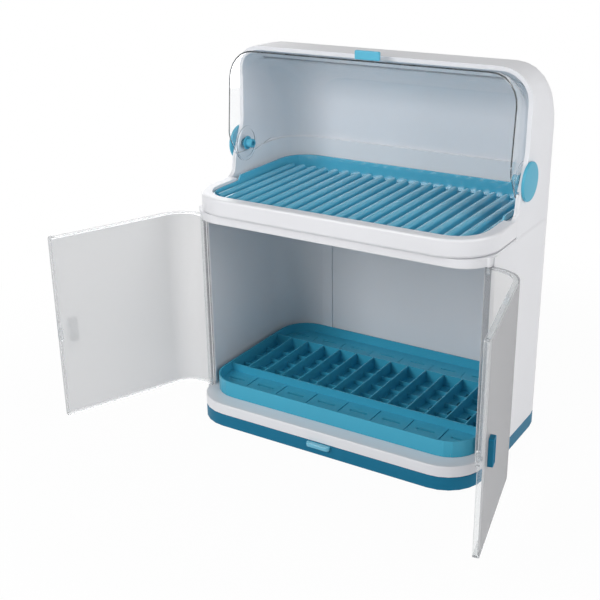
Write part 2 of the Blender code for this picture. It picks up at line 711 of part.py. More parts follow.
def hollow_ring(top):
    """The hollow under the rim, between its outer skin and the wall of the well."""
    outer_inset = INSIDE + SKIRT
    half, back = HALF - outer_inset, BACK - outer_inset
    outer = fillet([(-half, FRAME_FRONT + WALL, FRAME_RADIUS - outer_inset),
                    (half, FRAME_FRONT + WALL, FRAME_RADIUS - outer_inset),
                    (half, back, BACK_RADIUS - outer_inset), (-half, back, BACK_RADIUS - outer_inset)])
    ring = upright("ring", outer, FRAME_Z - WALL, top)
    grow = SKIRT
    side, near, far = OPENING_HALF + grow, OPENING_FRONT - grow, OPENING_BACK + grow / 2
    core = fillet([(-side, near, UPPER_RADIUS), (side, near, UPPER_RADIUS),
                   (side, far, UPPER_RADIUS), (-side, far, UPPER_RADIUS)])
    return cut(ring, upright("core", core, FRAME_Z - 2 * WALL, top + WALL))


def bar(bm, x, near, far, base, crown):
    """One round-topped ridge with a domed back end, as rings of points along its length."""
    radius = BAR_WIDTH / 2
    rows = []
    for y, share in ((near, 1.0), (far - radius, 1.0), (far - radius * 0.35, 0.76), (far, 0.25)):
        row = [bm.verts.new((x - radius * share, y, base))]
        for step in range(5):
            turn = math.pi * (1 - step / 4)
            z = crown - radius + radius * math.sin(turn) * share
            row.append(bm.verts.new((x + radius * share * math.cos(turn), y, z)))
        row.append(bm.verts.new((x + radius * share, y, base)))
        rows.append(row)
    for row, following in zip(rows, rows[1:]):
        for i in range(len(row)):
            j = (i + 1) % len(row)
            bm.faces.new((row[i], row[j], following[j], following[i]))
    bm.faces.new(rows[0])
    bm.faces.new(rows[-1])


def make_upper_drainer(material):
    """Lift-out tray of round-topped ridges in a wall that is higher inside the hood."""
    bottom = FRAME_Z + FRAME_SILL + SEAT
    half = UPPER_HALF
    near, far = OPENING_FRONT + UPPER_FRONT_ROOM, OPENING_BACK - UPPER_SIDE_ROOM
    wall, floor = UPPER_WALL, bottom + UPPER_FLOOR
    radius = UPPER_RADIUS - wall
    outer = fillet([(-half, near, UPPER_RADIUS), (half, near, UPPER_RADIUS),
                    (half, far, UPPER_RADIUS), (-half, far, UPPER_RADIUS)])
    inner = fillet([(-half + wall, near + wall, radius), (half - wall, near + wall, radius),
                    (half - wall, far - wall, radius), (-half + wall, far - wall, radius)])
    tray = upright("tray", outer, bottom, bottom + REAR_WALL_TOP)
    ledge = upright("ledge", inner, floor, floor + BACK_STEP)
    bar_end = far - BAR_BACK_ROOM
    step = block("step", (-WIDTH, WIDTH), (near - wall, bar_end + BACK_STEP_ROOM), (0, HEIGHT))
    cut(tray, upright("inner", inner, floor, HEIGHT))
    join(tray, cut(ledge, step))
    low, high = bottom + FRONT_WALL_TOP, bottom + REAR_WALL_TOP
    above = fillet([(near - wall, low, 0), (STEP_AT, low, 0.003), (STEP_AT + STEP_RUN, high + SEAT, 0),
                    (STEP_AT + STEP_RUN, HEIGHT, 0), (near - wall, HEIGHT, 0)], steps=3)
    cut(tray, across("above", above, -WIDTH, WIDTH))
    crown = bottom + BAR_TOP
    lip = (-half + UPPER_RADIUS, half - UPPER_RADIUS)
    cut(tray, block("lip", lip, (near - wall, near + wall * 2), (crown - wall, HEIGHT)))
    ridges, hollows, slots = bmesh.new(), [], []
    flat = BAR_WIDTH / 2 - BAR_WALL
    for i in range(BAR_COUNT):
        x = (i - (BAR_COUNT - 1) / 2) * BAR_PITCH
        setback = corner_setback(abs(x) + BAR_WIDTH / 2, half - wall / 2, UPPER_RADIUS - wall / 2)
        start = near + wall / 2 + setback
        bar(ridges, x, start, bar_end, floor - wall / 2, crown)
        hollows.append(((x - flat, x + flat), (start + BAR_WALL * 2, bar_end - BAR_WIDTH / 2),
                        (bottom - wall, crown - BAR_WALL * 1.5)))
        if i < BAR_COUNT - 1:
            gap = x + BAR_PITCH / 2
            setback = corner_setback(abs(gap) + BAR_PITCH / 2, half - wall, radius)
            slots.append(((gap - DRAIN_WIDTH / 2, gap + DRAIN_WIDTH / 2),
                          (near + 2 * wall + setback, near + 2 * wall + setback + DRAIN_LENGTH),
                          (bottom - wall, floor + wall / 2)))
    join(tray, from_bmesh("ridges", ridges))
    cut(tray, boxes("hollows", hollows), boxes("slots", slots))
    return finish(tray, "upper_drainer", material)


def corner_setback(x, half, radius):
    """How far a rounded corner draws the front wall back at a place across the tray."""
    over = x - (half - radius)
    return radius - math.sqrt(max(radius ** 2 - over ** 2, 0.0)) if over > 0 else 0.0


def make_hood(material):
    """The hood: a thin shell with a beaded front edge and a hole for each pivot."""
    hood = hood_form("hood", 0.0, FRAME_FRONT, FRAME_Z)
    edge = [(y, z) for y, z in cheek_line()]
    front = edge + [(FRAME_FRONT - PAST, HEIGHT + PAST)]
    cut(hood, across("front", front, -WIDTH, WIDTH))
    cut(hood, block("joint", (-WIDTH, WIDTH), (FRAME_FRONT - WALL, HOOD_JOINT), (0, PIVOT_Z)))
    cut(hood, hood_form("bead", BEAD, FRAME_FRONT - WALL, UPSTAND_TOP))
    inner = hood_form("inner", WALL, FRAME_FRONT - WALL, FRAME_Z - WALL)
    shifted = [(y + BEAD_WIDTH, z) for y, z in edge if z > UPSTAND_TOP]
    behind = shifted + [(BACK + WALL, HEIGHT + PAST), (BACK + WALL, FRAME_Z - 2 * WALL),
                        (FRAME_FRONT - 2 * WALL, FRAME_Z - 2 * WALL), (FRAME_FRONT - 2 * WALL, UPSTAND_TOP + WALL),
                        (shifted[0][0], UPSTAND_TOP + WALL)]
    keep(inner, across("behind", behind, -WIDTH, WIDTH))
    cut(hood, inner)
    hole = SHAFT_RADIUS + SEAT
    profile = [(-WIDTH, 0), (-WIDTH, hole), (WIDTH, hole), (WIDTH, 0)]
    cut(hood, turned("hole", profile, (0, PIVOT_Y, PIVOT_Z)))
    return finish(hood, "hood", material)


def lid_sweep(name, inset, past, reach):
    """The closed lid's full body: a round front that flares at the rim, and flat ends.

    The profile runs from below the rim to past the trailing edge, both by the angle past.
    The ends close round the ears and under the rim, at reach times the ears' radius.
    """
    rim = -math.asin(LID_DROP / LID_RIM_RADIUS)
    start, stop = rim - past, math.pi / 2 + past
    rise = (math.pi / 2 - rim) / LID_STATIONS
    climbs = [start] + [rim + rise * step for step in range(LID_STATIONS + 1)] + [stop]
    stations = []
    for climb in climbs:
        share = min(max(1 - (climb - rim) / LID_FLARE, 0.0), 1.0)
        radius = LID_RADIUS + (LID_RIM_RADIUS - LID_RADIUS) * share * share * (3 - 2 * share) - inset
        turn = math.pi - climb
        share = min(max(climb / LID_CORNER_RUN, 0.0), 1.0)
        corner = LID_CORNER + (LID_BACK_CORNER - LID_CORNER) * share - inset
        stations.append(((radius * math.cos(turn), radius * math.sin(turn)), turn, corner))
    ear, low = EAR_RADIUS * reach, -LID_DROP * reach
    inner = LID_RIM_RADIUS - LID_CORNER - inset
    closing = [(-ear * math.cos(stop), ear * math.sin(stop)), (ear, ear / 2), (ear, low),
               (-inner * math.cos(start), low), (-inner * math.cos(start), inner * math.sin(start))]
    return corner_sweep(name, stations, LID_HALF - inset, closing)


def make_lid(material, axis):
    """The clear lid, built closed about its pivot: a round front between two fan-shaped ears."""
    lid = lid_sweep("lid", 0.0, math.radians(8), 1.5)
    cut(lid, lid_sweep("inside", LID_WALL, math.radians(11), 2.0))
    far = LID_RIM_RADIUS * 2
    ear = [(EAR_RADIUS * math.cos(a), EAR_RADIUS * math.sin(a)) for a in
           (math.radians(d) for d in range(-60, 61, 15))]
    fan = [(-far, -LID_DROP), (-0.020, -LID_DROP), (-0.010, -LID_DROP * 0.93)] + ear
    fan += [(0.001, EAR_RADIUS * 2.4), (0.0005, far), (-far, far)]
    keep(lid, across("fan", fan, -WIDTH, WIDTH))
    inner = LID_HALF - LID_WALL
    for side in (-1, 1):
        face = side * (inner + LID_WALL / 2)
        raised = side * (inner - EAR_RING_HEIGHT)
        ring = [(face, EAR_RING), (raised, EAR_RING - EAR_RING_HEIGHT / 2),
                (raised, EAR_RING - EAR_RING_WIDTH), (face, EAR_RING - EAR_RING_WIDTH)]
        boss = [(face, HUB_FLANGE), (raised, HUB_FLANGE), (raised, SHAFT_RADIUS), (face, SHAFT_RADIUS)]
        join(lid, turned("ring", ring, (0, 0, 0)), turned("boss", boss, (0, 0, 0)))
    hole = SHAFT_RADIUS + SEAT
    cut(lid, turned("hole", [(-WIDTH, 0), (-WIDTH, hole), (WIDTH, hole), (WIDTH, 0)], (0, 0, 0)))
    return finish(lid, "lid", material, axis)


def make_lid_tab(material, axis):
    """The finger tab on the middle of the lid's rim."""
    low, high = -LID_DROP, TAB_THICKNESS - LID_DROP
    near = -math.sqrt(LID_RIM_RADIUS ** 2 - low ** 2) - SEAT
    above = -math.sqrt(LID_RIM_RADIUS ** 2 - high ** 2) - SEAT
    outline = fillet([(near, low, 0), (above, high, 0),
                      (near - TAB_HEIGHT, low + TAB_THICKNESS * 0.8, 0.0012),
                      (near - TAB_HEIGHT, low, 0.0012)], steps=2)
    tab = across("tab", outline, -TAB_WIDTH / 2, TAB_WIDTH / 2)
    soften(tab, 0.0015, lambda c: abs(abs(c.x) - TAB_WIDTH / 2) < SEAT and c.y < near - SEAT, 2)
    return finish(tab, "lid_tab", material, axis)


def make_pivot_cap(side, material):
    """The round cap outside the hood and the shaft that carries the lid's ear."""
    face = HALF + SEAT
    out = face + CAP_THICKNESS
    tip = LID_HALF - LID_WALL - EAR_RING_HEIGHT - HUB_LENGTH * 0.6
    profile = [(out, 0), (out, CAP_RADIUS - CAP_BEVEL), (out - CAP_BEVEL, CAP_RADIUS), (face, CAP_RADIUS),
               (face, SHAFT_RADIUS), (tip, SHAFT_RADIUS), (tip, 0)]
    cap = turned("cap", [(side * a, r) for a, r in profile], (0, PIVOT_Y, PIVOT_Z), steps=36)
    return finish(cap, "pivot_cap_right" if side > 0 else "pivot_cap_left", material)


def make_pivot_hub(side, material):
    """The hollow-nosed hub that clips over the shaft inside the lid's ear."""
    face = LID_HALF - LID_WALL - EAR_RING_HEIGHT - SEAT
    seat = face - HUB_LENGTH * 0.62
    nose = face - HUB_LENGTH
    bore = SHAFT_RADIUS + SEAT
    profile = [(face, HUB_FLANGE), (face - WALL / 2, HUB_FLANGE), (face - WALL / 2, HUB_RADIUS),
               (nose + WALL / 2, HUB_RADIUS), (nose, HUB_RADIUS - WALL / 2), (nose, HUB_BORE),
               (seat, HUB_BORE), (seat, bore), (face, bore)]
    hub = turned("hub", [(side * a, r) for a, r in profile], (0, PIVOT_Y, PIVOT_Z), steps=24)
    return finish(hub, "pivot_hub_right" if side > 0 else "pivot_hub_left", material)


def door_path(inset, start=0.0):
    """Plan of a right-hand door about its hinge: round the corner, then flat to the middle."""
    out = HINGE_INSET - inset
    forward = DOOR_FRONT - HINGE_Y + inset
    radius = DOOR_RADIUS - inset
    middle = -HINGE_X + DOOR_MEETING
    return fillet([(out, start, 0), (out, forward, radius), (middle, forward, 0)], closed=False, steps=9)


def make_door(side, material, axis):
    """A clear door: a curved skin with a stiffening flange at top, bottom and free edge."""
    low, high = LEDGE + DOOR_END_ROOM, STRIP_BOTTOM - DOOR_TOP_ROOM
    skin = door_path(0.0, DOOR_LIP) + door_path(DOOR_WALL, DOOR_LIP)[::-1]
    door = upright("door", [(side * x, y) for x, y in skin], low, high)
    knuckle = [(low, 0), (low, KNUCKLE_RADIUS), (high, KNUCKLE_RADIUS), (high, 0)]
    join(door, turned("knuckle", knuckle, (0, 0, 0), "Z", 16))
    shelf = [(side * x, y) for x, y in door_path(DOOR_WALL / 2, -SEAT) + door_path(DOOR_FLANGE, -SEAT)[::-1]]
    for base in (low, high - DOOR_WALL):
        join(door, upright("shelf", shelf, base, base + DOOR_WALL))
    edge = -HINGE_X + DOOR_MEETING
    forward = DOOR_FRONT - HINGE_Y
    stile = sorted((side * edge, side * (edge + DOOR_WALL)))
    join(door, block("stile", stile, (forward + DOOR_WALL / 2, forward + DOOR_FLANGE), (low, high)))
    lug_x = sorted((side * (edge + DOOR_WALL * 0.2), side * (edge + DOOR_WALL * 2)))
    join(door, block("lug", lug_x, (forward + DOOR_FLANGE - DOOR_WALL, forward + DOOR_FLANGE + LUG_REACH),
                     (HANDLE_Z - LUG_HEIGHT / 2, HANDLE_Z + LUG_HEIGHT / 2)))
    nub_x = sorted((side * (edge + DOOR_WALL * 0.5), side * (edge + DOOR_WALL * 0.5 + NUB_WIDTH)))
    join(door, block("nub", nub_x, (forward + DOOR_WALL, forward + DOOR_FLANGE * 0.8),
                     (high - DOOR_WALL / 2, high + NUB_HEIGHT)))
    hole = PIN_RADIUS + SEAT
    for base, tip in ((low - WALL, low + PIN_IN_DOOR + SEAT), (high - PIN_IN_DOOR - SEAT, high + WALL)):
        cut(door, turned("bore", [(base, 0), (base, hole), (tip, hole), (tip, 0)], (0, 0, 0), "Z", 14))
    return finish(door, "door_right" if side > 0 else "door_left", material, axis)


def make_door_handle(side, material, axis):
    """The upright grip near the free edge of a door."""
    face = DOOR_FRONT - HINGE_Y - SEAT
    centre = -HINGE_X + DOOR_MEETING + HANDLE_FROM_EDGE
    x = sorted((side * (centre - HANDLE_WIDTH / 2), side * (centre + HANDLE_WIDTH / 2)))
    z = (HANDLE_Z - HANDLE_HEIGHT / 2, HANDLE_Z + HANDLE_HEIGHT / 2)
    handle = block("handle", x, (face - HANDLE_REACH, face), z)
    soften(handle, HANDLE_BEVEL, lambda c: c.y < face - SEAT, 2)
    return finish(handle, "door_handle_right" if side > 0 else "door_handle_left", material, axis)


def make_hinge_pin(side, end, span, material):
    """One hinge pin between a frame and the knuckle of a door."""
    low, high = span
    tip = PIN_RADIUS * 0.3
    profile = [(low, 0), (low, PIN_RADIUS - tip), (low + tip, PIN_RADIUS), (high - tip, PIN_RADIUS),
               (high, PIN_RADIUS - tip), (high, 0)]
    pin = turned("pin", profile, (side * HINGE_X, HINGE_Y, 0), "Z", 14)
    return finish(pin, f"hinge_pin_{'right' if side > 0 else 'left'}_{end}", material)


def build():
    clear_scene()
    white = plastic("white_plastic", WHITE, 0.32)
    teal = plastic("teal_plastic", TEAL, 0.34)
    bright = plastic("bright_teal_plastic", BRIGHT_TEAL, 0.30)
    pale = plastic("pale_teal_plastic", PALE_TEAL, 0.28)
    clear = plastic("clear_plastic", CLEAR, 0.06, 0.25)
    frost = plastic("frosted_plastic", FROST, 0.30, 0.60)

    make_base_pan(teal)
    make_drip_tray(teal)
    make_tray_pull(pale)
    make_base_frame(white)
    make_lower_drainer(teal)
    for side in (-1, 1):
        make_side_panel(side, white)
    make_back_panel(white)
    make_top_frame(white)
    make_upper_frame(white)
    make_upper_drainer(bright)
    make_hood(white)

    lid_axis = axis_at("lid_axis", (0, PIVOT_Y, PIVOT_Z), turn_x=-LID_OPEN)
    make_lid(clear, lid_axis)
    make_lid_tab(pale, lid_axis)
    for side in (-1, 1):
        make_pivot_cap(side, bright)
        make_pivot_hub(side, bright)

    for side, opened in ((-1, LEFT_DOOR_OPEN), (1, RIGHT_DOOR_OPEN)):
        name = "right_door_axis" if side > 0 else "left_door_axis"
        axis = axis_at(name, (side * HINGE_X, HINGE_Y, 0), turn_z=side * opened)
        make_door(side, frost, axis)
        make_door_handle(side, teal, axis)
    for side, end, span in pin_places():
        make_hinge_pin(side, end, span, clear)


build()
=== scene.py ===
# %% [markdown]
# # A covered dish rack in moulded plastic
#
# The rack is a two-storey cabinet: teal base, white panels, a pair of curved clear doors, a
# ridged teal drainer on the upper storey, and a white hood with a clear lid that swings up
# inside it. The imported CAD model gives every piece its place. This lesson gives each piece
# the surface that a moulding has: soft edges, a slight texture and true clear plastic.

# %% Load the frame
import json
import math

import bmesh
import bpy
import numpy as np
from mathutils import Matrix, Vector


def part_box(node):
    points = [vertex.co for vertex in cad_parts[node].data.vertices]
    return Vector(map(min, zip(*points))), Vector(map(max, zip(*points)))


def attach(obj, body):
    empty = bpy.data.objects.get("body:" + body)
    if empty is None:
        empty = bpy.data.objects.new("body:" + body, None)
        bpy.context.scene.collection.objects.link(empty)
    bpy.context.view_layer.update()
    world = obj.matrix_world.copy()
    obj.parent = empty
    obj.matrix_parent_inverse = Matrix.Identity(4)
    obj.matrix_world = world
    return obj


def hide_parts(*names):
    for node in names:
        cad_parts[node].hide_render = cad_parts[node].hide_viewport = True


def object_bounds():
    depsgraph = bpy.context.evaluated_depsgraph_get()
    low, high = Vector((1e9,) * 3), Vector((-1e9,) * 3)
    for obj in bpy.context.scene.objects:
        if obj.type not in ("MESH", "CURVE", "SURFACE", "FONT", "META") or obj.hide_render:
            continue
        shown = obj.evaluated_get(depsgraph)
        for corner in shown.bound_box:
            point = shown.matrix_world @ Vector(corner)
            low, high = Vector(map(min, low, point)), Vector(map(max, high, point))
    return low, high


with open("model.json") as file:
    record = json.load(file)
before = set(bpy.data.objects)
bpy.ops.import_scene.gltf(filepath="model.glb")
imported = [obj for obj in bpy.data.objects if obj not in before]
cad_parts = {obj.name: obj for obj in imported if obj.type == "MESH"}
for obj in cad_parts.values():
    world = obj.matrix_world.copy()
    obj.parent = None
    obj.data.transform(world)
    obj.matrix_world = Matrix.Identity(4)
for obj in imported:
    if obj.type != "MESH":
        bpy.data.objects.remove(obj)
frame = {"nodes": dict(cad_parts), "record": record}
cad_box = [list(corner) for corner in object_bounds()]
print("pieces in the frame:", len(frame["nodes"]))

# %% [markdown]
# ## Camera
#
# The photograph looks down at the rack from its right front. The camera's place and angles
# come from matching straight edges of the model to the picture; the lens follows from the
# focal length in pixels over a picture 600 pixels wide.

# %% The camera
YAW, PITCH, ROLL = 0.5652, 0.3846, -0.0160
PLACE = Vector((0.6845, -1.2666, 0.7702))
FOCAL_PIXELS, PICTURE_PIXELS, SENSOR = 1063.6, 600, 36.0

forward = Vector((-math.sin(YAW) * math.cos(PITCH),
                  math.cos(YAW) * math.cos(PITCH),
                  -math.sin(PITCH)))
level = forward.cross(Vector((0, 0, 1))).normalized()
upward = level.cross(forward)
right = math.cos(ROLL) * level + math.sin(ROLL) * upward
above = math.cos(ROLL) * upward - math.sin(ROLL) * level
turned = Matrix((right, above, -forward)).transposed().to_4x4()

lens = bpy.data.cameras.new("camera")
lens.sensor_width = SENSOR
lens.lens = FOCAL_PIXELS * SENSOR / PICTURE_PIXELS
camera = bpy.data.objects.new("camera", lens)
camera.matrix_world = Matrix.Translation(PLACE) @ turned
bpy.context.scene.collection.objects.link(camera)
bpy.context.scene.camera = camera
bpy.context.scene.view_settings.view_transform = "Standard"
print("lens", round(lens.lens, 2), "mm")

# %% [markdown]
# ## Shader maths
#
# A material is a small calculation. Written out as nodes it is hard to read, so a socket is
# wrapped in a class that understands + and *. Everything else is one method that adds a
# node of any type. The world's light is a node tree too, so that method has a class of its
# own, and a material builds on it.

# %% Sockets that add up
class Value:
    """A shader value: arithmetic on it adds Math nodes to its tree."""

    def __init__(self, nodes, socket):
        self.nodes, self.socket = nodes, socket

    def __add__(self, other):
        return self.nodes.node("ShaderNodeMath", {"operation": "ADD"}, self, other)

    def __mul__(self, other):
        return self.nodes.node("ShaderNodeMath", {"operation": "MULTIPLY"}, self, other)

    __radd__, __rmul__ = __add__, __mul__


class Nodes:
    """A node tree, with one method that adds any node."""

    def __init__(self, tree):
        self.tree = tree

    def node(self, kind, settings, *inputs, output=0, **named):
        """Add a node: its settings first, then its sockets in order or by name."""
        made = self.tree.nodes.new(kind)
        for key, value in settings.items():
            setattr(made, key, value)
        pairs = list(enumerate(inputs))
        pairs += [(key.replace("_", " "), value) for key, value in named.items()]
        for key, value in pairs:
            self.put(made.inputs[key], value)
        return Value(self, made.outputs[output])

    def put(self, socket, value):
        """Link a value to a socket, or write a plain number or colour there."""
        if isinstance(value, Value):
            self.tree.links.new(value.socket, socket)
        else:
            socket.default_value = value


class Finish(Nodes):
    """A material whose tree starts with the Principled shader."""

    def __init__(self, name):
        self.material = bpy.data.materials.new(name)
        self.material.use_nodes = True
        super().__init__(self.material.node_tree)
        self.shader = self.tree.nodes["Principled BSDF"]
        self.surface = self.tree.nodes["Material Output"].inputs["Surface"]

    def set(self, **named):
        """Write or link sockets of the Principled shader by name."""
        for key, value in named.items():
            self.put(self.shader.inputs[key.replace("_", " ")], value)


print("shader helpers:", Value.__name__, Nodes.__name__, Finish.__name__)

# %% [markdown]
# ## Moulded plastic
#
# Injection-moulded polypropylene is never one flat colour. The mould's spark-eroded face
# prints a fine grain of about a third of a millimetre, the cooling leaves broad, barely
# visible differences in gloss, and the pigment drifts by about one part in fifty. All
# three come from noise on Object coordinates, so they stay put when a piece moves. The
# upper drainer is polished, which a clear coat gives: its ridges mirror the hood. The hood
# has a lower refractive index, because its top is seen at a low angle, where a higher one
# would mirror the white studio. The hood's white is also painted a little lighter than the
# other white mouldings: painted light, standing in for light that does not reach its inside.

# %% Opaque mouldings
GRAIN_SCALE, GRAIN_DETAIL, GRAIN_DEPTH, GRAIN_STRENGTH = 2600.0, 2.0, 0.00004, 0.6
DRIFT_SCALE, DRIFT_DETAIL, DRIFT, GLOSS_SPREAD = 9.0, 3.0, 0.02, 0.12
COAT_ROUGHNESS = 0.10
COLOUR_A, COLOUR_B, COLOUR_MIXED = 6, 7, 2


def noise(finish, scale, detail):
    """Noise on Object coordinates, as a value between 0 and 1."""
    where = finish.node("ShaderNodeTexCoord", {}, output="Object")
    return finish.node("ShaderNodeTexNoise", {"noise_dimensions": "3D"},
                       Vector=where, Scale=scale, Detail=detail, output="Fac")


def moulded(name, colour, roughness, ior=1.49, coat=0.0):
    """Grain bump + broad roughness and colour drift around a base colour."""
    f = Finish(name)
    fine = noise(f, GRAIN_SCALE, GRAIN_DETAIL)
    broad = noise(f, DRIFT_SCALE, DRIFT_DETAIL)
    shade = f.node("ShaderNodeMix", {"data_type": "RGBA"}, output=COLOUR_MIXED, Factor=broad)
    for socket, gain in ((COLOUR_A, 1 - DRIFT), (COLOUR_B, 1 + DRIFT)):
        f.put(shade.socket.node.inputs[socket], (*[min(1.0, c * gain) for c in colour], 1.0))
    bump = f.node("ShaderNodeBump", {}, output="Normal",
                  Strength=GRAIN_STRENGTH, Distance=GRAIN_DEPTH, Height=fine)
    f.set(Base_Color=shade, Roughness=broad * GLOSS_SPREAD + (roughness - GLOSS_SPREAD / 2),
          Normal=bump, IOR=ior, Coat_Weight=coat, Coat_Roughness=COAT_ROUGHNESS)
    return f.material


WHITE = moulded("white_moulding", (0.775, 0.780, 0.805), 0.34)
# painted light: the hood's white is lighter than the other whites to brighten its shaded inside
HOOD_WHITE_PAINTED_LIGHT = moulded("hood_moulding_painted_light", (0.815, 0.820, 0.845), 0.46, ior=1.18)
DEEP = moulded("deep_teal_moulding", (0.003, 0.150, 0.265), 0.50, ior=1.30)
TEAL = moulded("teal_moulding", (0.050, 0.385, 0.555), 0.34, ior=1.42)
BRIGHT = moulded("bright_teal_moulding", (0.095, 0.450, 0.625), 0.17, coat=0.9)
SATIN = moulded("satin_teal_moulding", (0.085, 0.410, 0.570), 0.42, ior=1.32)
PALE = moulded("pale_teal_moulding", (0.100, 0.460, 0.640), 0.38, ior=1.38)
print("opaque finishes:", [m.name for m in (WHITE, HOOD_WHITE_PAINTED_LIGHT, DEEP, TEAL, BRIGHT, SATIN, PALE)])

# %% [markdown]
# ## Clear plastic
#
# The lid and the doors are polystyrene. Light goes through it and bends, and it leaves a
# rim of dark and bright lines where a wall is seen edge-on. The doors' skins are frosted,
# which a share of milk gives: part of the light passes on scattered and part comes back. A
# path tracer would make the shadow of clear plastic nearly black, so rays that only ask for
# shadow or soft light pass as through a thin film.

# %% Clear mouldings
RIPPLE_SCALE, RIPPLE_DETAIL, RIPPLE_DEPTH, CLEAR_SPREAD = 14.0, 2.0, 0.0003, 0.04


def clear(name, colour, roughness, film, milk, milk_colour, ior, ripple, back_share=0.5):
    """A glass-like shader, part milk, whose shadow rays see a thin tinted film."""
    f = Finish(name)
    broad = noise(f, RIPPLE_SCALE, RIPPLE_DETAIL)
    bump = f.node("ShaderNodeBump", {}, output="Normal",
                  Strength=ripple, Distance=RIPPLE_DEPTH, Height=broad)
    rough = broad * CLEAR_SPREAD + (roughness - CLEAR_SPREAD / 2)
    f.set(Base_Color=(*colour, 1.0), Roughness=rough, IOR=ior, Transmission_Weight=1.0,
          Normal=bump)
    haze = f.node("ShaderNodeBsdfTranslucent", {}, Color=(*milk_colour, 1.0))
    face = f.node("ShaderNodeBsdfDiffuse", {}, Color=(*milk_colour, 1.0))
    cloudy = f.node("ShaderNodeMixShader", {}, back_share, haze, face)
    body = f.node("ShaderNodeMixShader", {}, milk, Value(f, f.shader.outputs[0]), cloudy)
    thin = f.node("ShaderNodeBsdfTransparent", {}, Color=(*film, 1.0))
    shadow = f.node("ShaderNodeLightPath", {}, output="Is Shadow Ray")
    bounce = f.node("ShaderNodeLightPath", {}, output="Is Diffuse Ray")
    f.put(f.surface, f.node("ShaderNodeMixShader", {}, shadow + bounce, body, thin))
    return f.material


GREY_FILM = (0.55, 0.55, 0.56)
CLEAR = clear("clear_moulding", (0.98, 0.99, 0.99), 0.04, (0.92, 0.93, 0.94),
              milk=0.16, milk_colour=(0.90, 0.93, 0.95), ior=1.24, ripple=0.08)
LID = clear("clear_lid", (0.99, 0.995, 1.0), 0.03, (0.99, 0.99, 0.995),
            milk=0.03, milk_colour=(0.88, 0.91, 0.93), ior=1.22, ripple=0.1)
# painted shade: the doors' outer skin is the same frosted plastic as the inside, made grey for the
# shade on that face
OUTSIDE_PAINTED_SHADE = clear("frost_with_painted_shade", (0.93, 0.93, 0.94), 0.25, GREY_FILM,
                milk=0.60, milk_colour=(0.42, 0.42, 0.43), ior=1.30, ripple=0.1)
INSIDE = clear("pale_frost", (0.95, 0.95, 0.96), 0.25, GREY_FILM,
               milk=0.90, milk_colour=(0.90, 0.90, 0.90), ior=1.30, ripple=0.1, back_share=0.85)
print("clear finishes:", [m.name for m in (CLEAR, LID, OUTSIDE_PAINTED_SHADE, INSIDE)])

# %% [markdown]
# ## Soft edges on the CAD pieces
#
# A mould never leaves a sharp edge. The CAD pieces carry the true shapes as loose
# triangles, so a copy is merged, its flat faces are joined up again, and a Bevel modifier
# rolls every real edge over by a few tenths of a millimetre. Weighted normals keep the
# broad faces flat to the eye and let the small rounds turn.

# %% Every node's finish and the width of its soft edge in metres
LOOK = {
    "base_pan": (DEEP, 0.0006),
    "drip_tray": (DEEP, 0.0005),
    "tray_pull": (BRIGHT, 0.0),
    "base_frame": (WHITE, 0.0005),
    "lower_drainer": (TEAL, 0.00025),
    "side_panel_left": (WHITE, 0.00015),
    "side_panel_right": (WHITE, 0.00015),
    "back_panel": (WHITE, 0.0001),
    "top_frame": (WHITE, 0.0003),
    "upper_frame": (WHITE, 0.0005),
    "upper_drainer": (BRIGHT, 0.0004),
    "hood": (HOOD_WHITE_PAINTED_LIGHT, 0.0008),
    "lid": (LID, 0.0003),
    "lid_tab": (PALE, 0.0),
    "pivot_cap_left": (SATIN, 0.0),
    "pivot_cap_right": (SATIN, 0.0),
    "pivot_hub_left": (SATIN, 0.0),
    "pivot_hub_right": (SATIN, 0.0),
    "door_left": (CLEAR, 0.0003),
    "door_right": (CLEAR, 0.0003),
    "door_handle_left": (DEEP, 0.0),
    "door_handle_right": (DEEP, 0.0),
    "hinge_pin_left_bottom": (CLEAR, 0.0001),
    "hinge_pin_left_top": (CLEAR, 0.0001),
    "hinge_pin_right_bottom": (CLEAR, 0.0001),
    "hinge_pin_right_top": (CLEAR, 0.0001),
}
BODY = {node: body for body, nodes in frame["record"]["behaviour"]["bodies"].items()
        for node in nodes}
print("nodes with a finish:", len(LOOK), "of", len(BODY))

# %% [markdown]
# ## Rolled rims
#
# The white frames have a broad rounded rim at the front, wider than their other edges. So
# three nodes get two bevels: one follows edge weights and makes the rim, and the other
# follows the angle and does the rest. A bevel that finds no room leaves corners lying on
# each other, and a Weld modifier joins them, so that no face without area is left.

# %% Finish a piece
SHARP, FLAT = math.radians(34), math.radians(0.5)
MERGE = 0.000005
JOIN, JOIN_WIDER = 0.000002, {"base_frame": 0.00001}
RIM_SEGMENTS, EDGE_SEGMENTS = 4, 2
RIM = {  # width of the roll, heights of the rims, and how far back they go
    "base_frame": (0.0035, (0.0370,), -0.088),
    "upper_frame": (0.0030, (0.3490,), -0.020),
    "top_frame": (0.0016, (0.3106,), -0.020),
}
PIECES = []


def settle(thing, node, soften=True):
    """Give a piece its material, soft edges, smooth shading and body, and hide its CAD node."""
    material, edge = LOOK[node]
    if not thing.data.materials:
        thing.data.materials.append(material)
    thing.data.shade_smooth()
    if node in RIM:
        roll = thing.modifiers.new("rolled rim", "BEVEL")
        roll.width, roll.segments, roll.limit_method = RIM[node][0], RIM_SEGMENTS, "WEIGHT"
        roll.use_clamp_overlap = False
    if edge and soften:
        bevel = thing.modifiers.new("soft edge", "BEVEL")
        bevel.width, bevel.segments, bevel.limit_method = edge, EDGE_SEGMENTS, "ANGLE"
        bevel.angle_limit, bevel.use_clamp_overlap = SHARP, True
        weld = thing.modifiers.new("corners that meet are joined", "WELD")
        weld.merge_threshold = JOIN_WIDER.get(node, JOIN)
    normals = thing.modifiers.new("flat faces stay flat", "WEIGHTED_NORMAL")
    normals.keep_sharp = True
    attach(thing, BODY[node])
    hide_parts(node)
    PIECES.append(thing)


